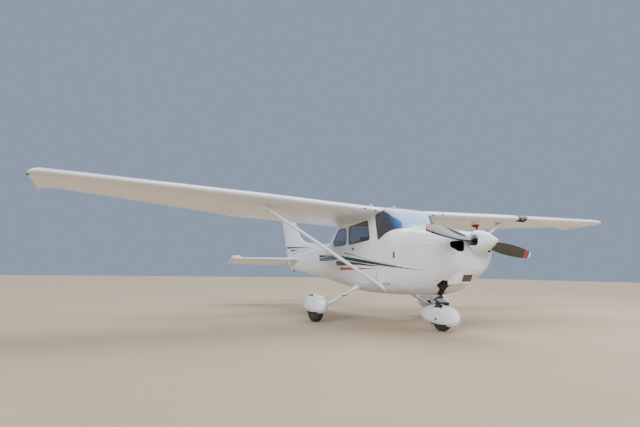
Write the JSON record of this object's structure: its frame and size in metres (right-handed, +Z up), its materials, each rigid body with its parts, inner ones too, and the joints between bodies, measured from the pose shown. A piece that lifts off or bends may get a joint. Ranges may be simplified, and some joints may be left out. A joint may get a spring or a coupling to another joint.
{
  "type": "light aircraft",
  "caption": "High-wing light aircraft on fixed nose-wheel gear, with a strut-braced wing, wheel fairings, opening cabin doors and hinged control surfaces.",
  "frame": {"origin": "on the ground, at mid span and mid length, under the parked aircraft", "axes": "+X to the pilot's left along the wing, +Y aft towards the tail, +Z up"},
  "size_m": [11, 8.23, 2.72],
  "materials": {
    "white_paint": "gloss",
    "tail_paint": "gloss paint",
    "fairing_paint": "gloss",
    "glazing": "clear, slightly tinted",
    "engine_iron": "rough",
    "dark_metal": "satin",
    "strut_steel": "satin",
    "blade_paint": "satin paint",
    "filter_foam": "matte",
    "panel_plastic": "matte",
    "seat_cloth": "woven",
    "tyre_rubber": "matte",
    "hub_alloy": "satin",
    "pitot_cover": "woven"
  },
  "bodies": {
    "airframe": {"cabin_shell": "white_paint", "tail_cone": "tail_paint", "upper_cowl": "white_paint", "lower_cowl": "white_paint", "engine_block": "engine_iron", "exhaust_pipe": "dark_metal", "air_filter": "filter_foam", "windshield": "glazing", "rear_window": "glazing", "quarter_window_left": "glazing", "quarter_window_right": "glazing", "wing_left": "white_paint", "wing_right": "white_paint", "strut_left": "white_paint", "strut_right": "white_paint", "fin": "tail_paint", "stabilizer": "tail_paint", "gear_leg_left": "white_paint", "gear_leg_right": "white_paint", "main_spat_left": "fairing_paint", "main_spat_right": "fairing_paint", "nose_strut": "strut_steel", "instrument_panel": "panel_plastic", "seat_left": "seat_cloth", "seat_right": "seat_cloth", "rear_bench": "seat_cloth", "pitot_mast": "pitot_cover", "tail_ring": "strut_steel", "landing_light_pane": "glazing", "cabin_floor": "panel_plastic"},
    "propeller": {"propeller": "blade_paint", "spinner": "fairing_paint"},
    "door_left": {"door_left": "white_paint", "door_glass_left": "glazing"},
    "door_right": {"door_right": "white_paint", "door_glass_right": "glazing"},
    "baggage_door": {"baggage_door": "white_paint"},
    "oil_door": {"oil_door": "white_paint"},
    "flap_left": {"flap_left": "white_paint"},
    "flap_right": {"flap_right": "white_paint"},
    "aileron_left": {"aileron_left": "white_paint"},
    "aileron_right": {"aileron_right": "white_paint"},
    "elevator": {"elevator": "tail_paint"},
    "rudder": {"rudder": "tail_paint"},
    "nose_gear": {"nose_fork": "dark_metal", "nose_spat": "fairing_paint"},
    "nose_wheel": {"nose_tyre": "tyre_rubber", "nose_hub": "hub_alloy"},
    "main_wheel_left": {"main_tyre_left": "tyre_rubber", "main_hub_left": "hub_alloy"},
    "main_wheel_right": {"main_tyre_right": "tyre_rubber", "main_hub_right": "hub_alloy"}
  },
  "joints": [
    {"name": "propeller_spin", "type": "hinge", "parent": "airframe", "child": "propeller", "pos_m": [0, -3.807, 1.267], "axis": [0, -1, 0], "continuous": true},
    {"name": "door_left_hinge", "type": "hinge", "parent": "airframe", "child": "door_left", "pos_m": [0.538, -2.043, 1.2], "axis": [0, 0, -1], "range_deg": [0, 72]},
    {"name": "door_right_hinge", "type": "hinge", "parent": "airframe", "child": "door_right", "pos_m": [-0.538, -2.043, 1.2], "axis": [0, 0, 1], "range_deg": [0, 72]},
    {"name": "baggage_door_hinge", "type": "hinge", "parent": "airframe", "child": "baggage_door", "pos_m": [0.508, -0.77, 1.05], "axis": [0, 0, -1], "range_deg": [0, 85]},
    {"name": "oil_door_hinge", "type": "hinge", "parent": "airframe", "child": "oil_door", "pos_m": [-0.184, -3.22, 1.487], "axis": [0, 1, 0], "range_deg": [0, 80]},
    {"name": "flap_left_hinge", "type": "hinge", "parent": "airframe", "child": "flap_left", "pos_m": [0.61, -0.9437, 1.6689], "axis": [-0.9994, 0, -0.0333], "range_deg": [0, 30]},
    {"name": "flap_right_hinge", "type": "hinge", "parent": "airframe", "child": "flap_right", "pos_m": [-0.61, -0.9437, 1.6689], "axis": [-0.9994, 0, 0.0333], "range_deg": [0, 30]},
    {"name": "aileron_left_hinge", "type": "hinge", "parent": "airframe", "child": "aileron_left", "pos_m": [2.56, -0.9287, 1.8623], "axis": [-0.9925, 0.1082, -0.0573], "range_deg": [-20, 15]},
    {"name": "aileron_right_hinge", "type": "hinge", "parent": "airframe", "child": "aileron_right", "pos_m": [-2.56, -0.9287, 1.8623], "axis": [-0.9925, -0.1082, 0.0573], "range_deg": [-20, 15]},
    {"name": "elevator_hinge", "type": "hinge", "parent": "airframe", "child": "elevator", "pos_m": [0, 3.087, 1.168], "axis": [1, 0, 0], "range_deg": [0, 47]},
    {"name": "rudder_hinge", "type": "hinge", "parent": "airframe", "child": "rudder", "pos_m": [0, 3.09, 0.925], "axis": [0, 0.3554, 0.9347], "range_deg": [-17, 17]},
    {"name": "nose_gear_steer", "type": "hinge", "parent": "airframe", "child": "nose_gear", "pos_m": [0, -3.037, 0.18], "axis": [0, 0.1724, 0.985], "range_deg": [-30, 30]},
    {"name": "nose_wheel_spin", "type": "hinge", "parent": "nose_gear", "child": "nose_wheel", "pos_m": [0, -3.01, 0.1805], "axis": [1, 0, 0], "continuous": true},
    {"name": "main_wheel_left_spin", "type": "hinge", "parent": "airframe", "child": "main_wheel_left", "pos_m": [1.274, -1.285, 0.2225], "axis": [1, 0, 0], "continuous": true},
    {"name": "main_wheel_right_spin", "type": "hinge", "parent": "airframe", "child": "main_wheel_right", "pos_m": [-1.274, -1.285, 0.2225], "axis": [1, 0, 0], "continuous": true}
  ]
}
